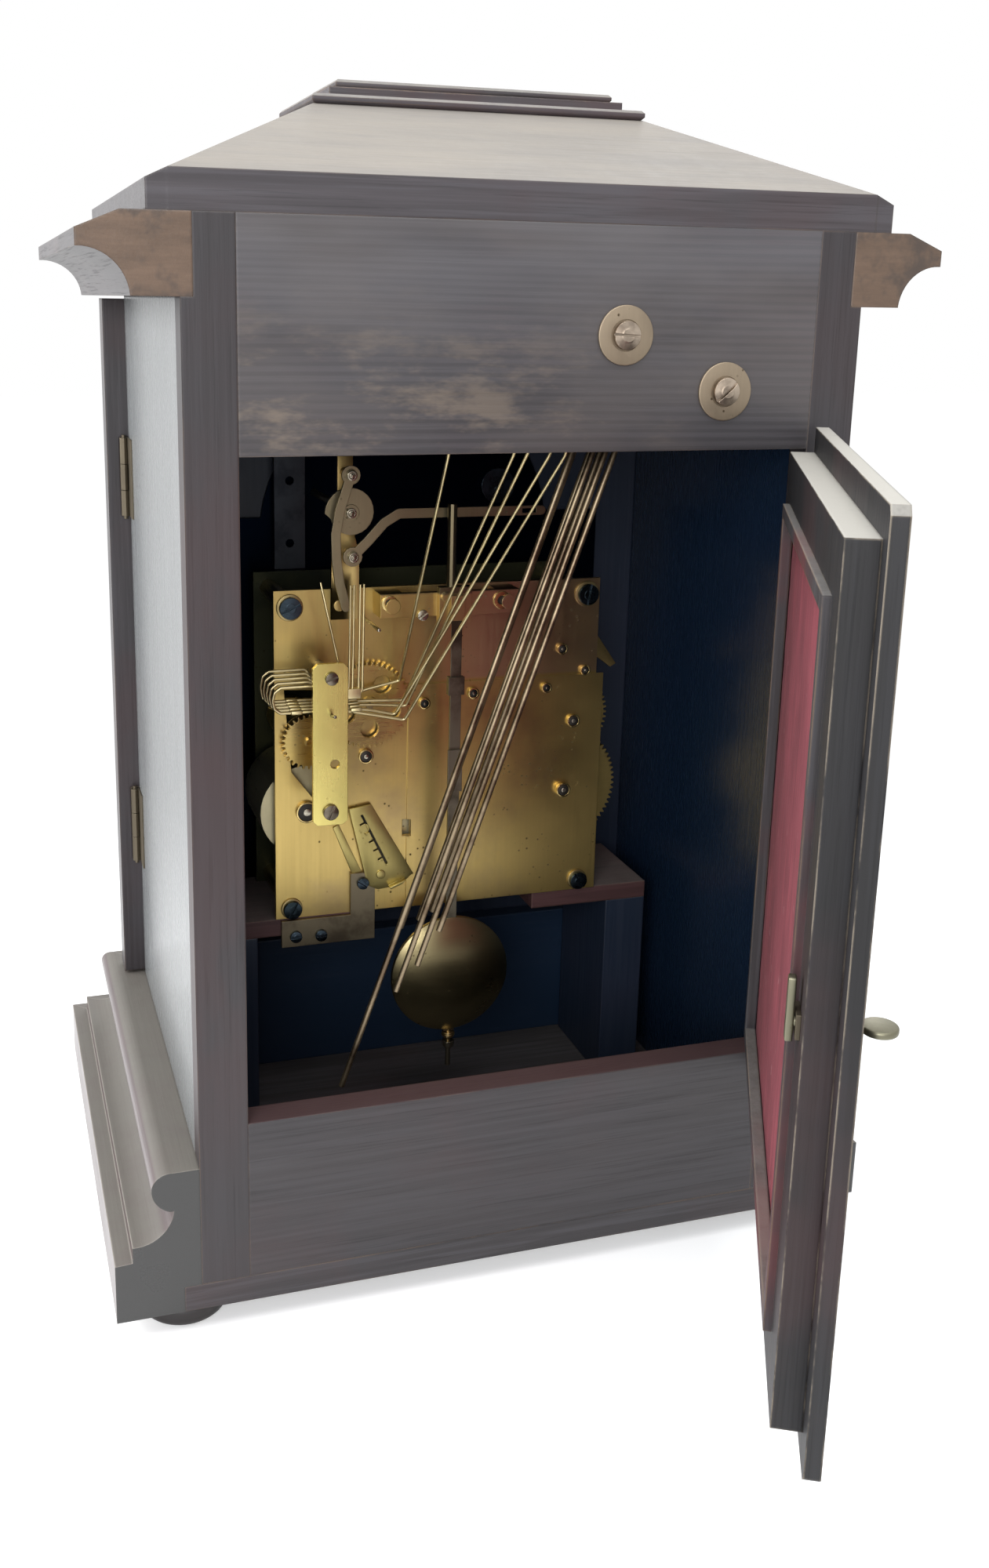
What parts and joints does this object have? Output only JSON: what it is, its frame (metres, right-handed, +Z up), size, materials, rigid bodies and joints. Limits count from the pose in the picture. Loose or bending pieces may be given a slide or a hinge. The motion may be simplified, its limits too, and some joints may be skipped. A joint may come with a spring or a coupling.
{
  "type": "bracket clock",
  "caption": "Chiming bracket clock in a dark wooden case with a hipped roof, its rear door open on a brass movement, pendulum and rod gong.",
  "frame": {"origin": "on the table under the feet, at the middle of the whole outline as shown with its rear door open, on the case's centre line", "axes": "+Z up, the dial faces -Y and the rear door opens toward +Y"},
  "size_m": [0.4028, 0.541, 0.59],
  "materials": {
    "dark_wood": "waxed, dark stained",
    "inner_wood": "dark, dull",
    "cornice_wood": "stained, worn at the ends",
    "roof_wood": "stained, waxed",
    "door_wood": "stained, worn arrises",
    "seat_wood": "dull",
    "brass_plate": "grained",
    "brass_part": "lacquered",
    "brass_old": "aged",
    "steel": "grey",
    "dark_steel": "dull",
    "blued_steel": "blued",
    "silvered": "silvered, matt",
    "cloth": "crimson silk",
    "glass": "clear",
    "foot_wood": "black stained"
  },
  "bodies": {
    "case": {"bun_feet": "foot_wood", "bottom_board": "dark_wood", "plinth_mouldings": "dark_wood", "cornice_mouldings": "cornice_wood", "side_boards": "dark_wood", "rear_stiles": "dark_wood", "rear_rails": "dark_wood", "roof_boards": "roof_wood", "roof_cap": "dark_wood", "front_rails": "dark_wood", "dial_mask": "inner_wood", "seat_board": "seat_wood", "seat_supports": "seat_wood", "gong_block": "dark_steel", "gong_rods": "steel", "gong_fixings": "steel", "hinge_leaves": "brass_old", "back_plate": "brass_plate", "front_plate": "brass_plate", "plate_screws": "blued_steel", "pillars_pivots": "brass_part", "spring_barrels": "brass_part", "back_cock": "brass_part", "brass_brackets": "brass_part", "hammer_bridge": "brass_part", "bridge_fixings": "dark_steel", "seat_bracket": "dark_steel", "spring_wires": "steel", "dial_plate": "brass_plate", "dial_rings": "silvered", "dial_feet": "brass_old"},
    "rear_door": {"rear_door_frame": "door_wood", "rear_door_board": "door_wood", "rear_door_beading": "door_wood", "rear_door_cloth": "cloth", "rear_door_brass": "brass_old"},
    "rear_latch": {"rear_latch": "brass_old"},
    "front_door": {"front_door_frame": "dark_wood", "front_door_glass": "glass", "front_door_brass": "brass_old"},
    "front_knob": {"front_door_knob": "brass_part"},
    "pendulum": {"pendulum_rod": "steel", "pendulum_bob": "brass_part"},
    "rating_nut": {"rating_nut": "brass_part"},
    "minute_hand": {"minute_hand": "blued_steel"},
    "hour_hand": {"hour_hand": "blued_steel"},
    "reg_cam": {"reg_cam": "brass_part"},
    "lift_arm": {"lift_arm": "brass_part"},
    "selector_lever": {"selector_lever": "steel"},
    "chime_hand": {"chime_hand": "blued_steel"},
    "strike_great": {"strike_great": "brass_part"},
    "strike_second": {"strike_second": "brass_part"},
    "pin_barrel": {"pin_barrel": "brass_part"},
    "chime_wheel": {"chime_wheel": "brass_part"},
    "hammer_1": {"hammer_1": "dark_steel"},
    "hammer_2": {"hammer_2": "dark_steel"},
    "hammer_3": {"hammer_3": "dark_steel"},
    "hammer_4": {"hammer_4": "dark_steel"},
    "hammer_5": {"hammer_5": "dark_steel"}
  },
  "joints": [
    {"name": "rear_door_hinge", "type": "hinge", "parent": "case", "child": "rear_door", "pos_m": [-0.142, 0.01195, 0.266], "axis": [0, 0, 1], "range_deg": [-62.8, 45]},
    {"name": "rear_latch_turn", "type": "hinge", "parent": "rear_door", "child": "rear_latch", "pos_m": [-0.01866, 0.24538, 0.257], "axis": [-0.8894, 0.4571, 0], "range_deg": [0, 90]},
    {"name": "front_door_hinge", "type": "hinge", "parent": "case", "child": "front_door", "pos_m": [0.1629, -0.20945, 0.288], "axis": [0, 0, 1], "range_deg": [0, 105]},
    {"name": "front_knob_turn", "type": "hinge", "parent": "front_door", "child": "front_knob", "pos_m": [-0.15, -0.22905, 0.262], "axis": [0, 1, 0], "range_deg": [0, 90]},
    {"name": "pendulum_swing", "type": "hinge", "parent": "case", "child": "pendulum", "pos_m": [0, -0.10305, 0.322], "axis": [0, 1, 0], "range_deg": [-4, 4]},
    {"name": "rating_nut_turn", "type": "hinge", "parent": "pendulum", "child": "rating_nut", "pos_m": [0, -0.10305, 0.0788], "axis": [0, 0, 1], "continuous": true},
    {"name": "minute_turn", "type": "hinge", "parent": "case", "child": "minute_hand", "pos_m": [0, -0.20745, 0.244], "axis": [0, 1, 0], "continuous": true},
    {"name": "hour_turn", "type": "hinge", "parent": "case", "child": "hour_hand", "pos_m": [0, -0.20555, 0.244], "axis": [0, 1, 0], "continuous": true},
    {"name": "regulation_turn", "type": "hinge", "parent": "case", "child": "reg_cam", "pos_m": [0.056, -0.16105, 0.38], "axis": [0, 1, 0], "range_deg": [-120, 120]},
    {"name": "lift_arm_rock", "type": "hinge", "parent": "case", "child": "lift_arm", "pos_m": [0.0555, -0.11255, 0.357], "axis": [0, 1, 0], "range_deg": [-3, 3]},
    {"name": "selector_rock", "type": "hinge", "parent": "case", "child": "selector_lever", "pos_m": [0.0574, -0.10925, 0.4005], "axis": [0, 1, 0], "range_deg": [-3, 4]},
    {"name": "chime_select_turn", "type": "hinge", "parent": "case", "child": "chime_hand", "pos_m": [-0.056, -0.20205, 0.38], "axis": [0, 1, 0], "range_deg": [-30, 30]},
    {"name": "strike_great_turn", "type": "hinge", "parent": "case", "child": "strike_great", "pos_m": [-0.0738, -0.13305, 0.2138], "axis": [0, 1, 0], "continuous": true},
    {"name": "strike_second_turn", "type": "hinge", "parent": "case", "child": "strike_second", "pos_m": [-0.079, -0.13905, 0.2548], "axis": [0, 1, 0], "continuous": true},
    {"name": "pin_barrel_turn", "type": "hinge", "parent": "case", "child": "pin_barrel", "pos_m": [0.077, -0.15105, 0.254], "axis": [0, 1, 0], "continuous": true},
    {"name": "chime_wheel_turn", "type": "hinge", "parent": "case", "child": "chime_wheel", "pos_m": [0.0435, -0.12255, 0.2726], "axis": [0, 1, 0], "continuous": true},
    {"name": "hammer_1_lift", "type": "hinge", "parent": "case", "child": "hammer_1", "pos_m": [0.071, -0.11755, 0.284], "axis": [0, 1, 0], "range_deg": [0, 1.5]},
    {"name": "hammer_2_lift", "type": "hinge", "parent": "case", "child": "hammer_2", "pos_m": [0.071, -0.11405, 0.284], "axis": [0, 1, 0], "range_deg": [0, 1.5]},
    {"name": "hammer_3_lift", "type": "hinge", "parent": "case", "child": "hammer_3", "pos_m": [0.071, -0.11055, 0.284], "axis": [0, 1, 0], "range_deg": [0, 1.5]},
    {"name": "hammer_4_lift", "type": "hinge", "parent": "case", "child": "hammer_4", "pos_m": [0.071, -0.10705, 0.284], "axis": [0, 1, 0], "range_deg": [0, 1.5]},
    {"name": "hammer_5_lift", "type": "hinge", "parent": "case", "child": "hammer_5", "pos_m": [0.071, -0.10355, 0.284], "axis": [0, 1, 0], "range_deg": [0, 1.5]}
  ],
  "couplings": [
    {"joint": "hour_turn", "follows": "minute_turn", "ratio": 0.083333},
    {"joint": "lift_arm_rock", "follows": "regulation_turn", "ratio": 0.02},
    {"joint": "strike_second_turn", "follows": "strike_great_turn", "ratio": -6},
    {"joint": "chime_wheel_turn", "follows": "pin_barrel_turn", "ratio": -0.625}
  ]
}
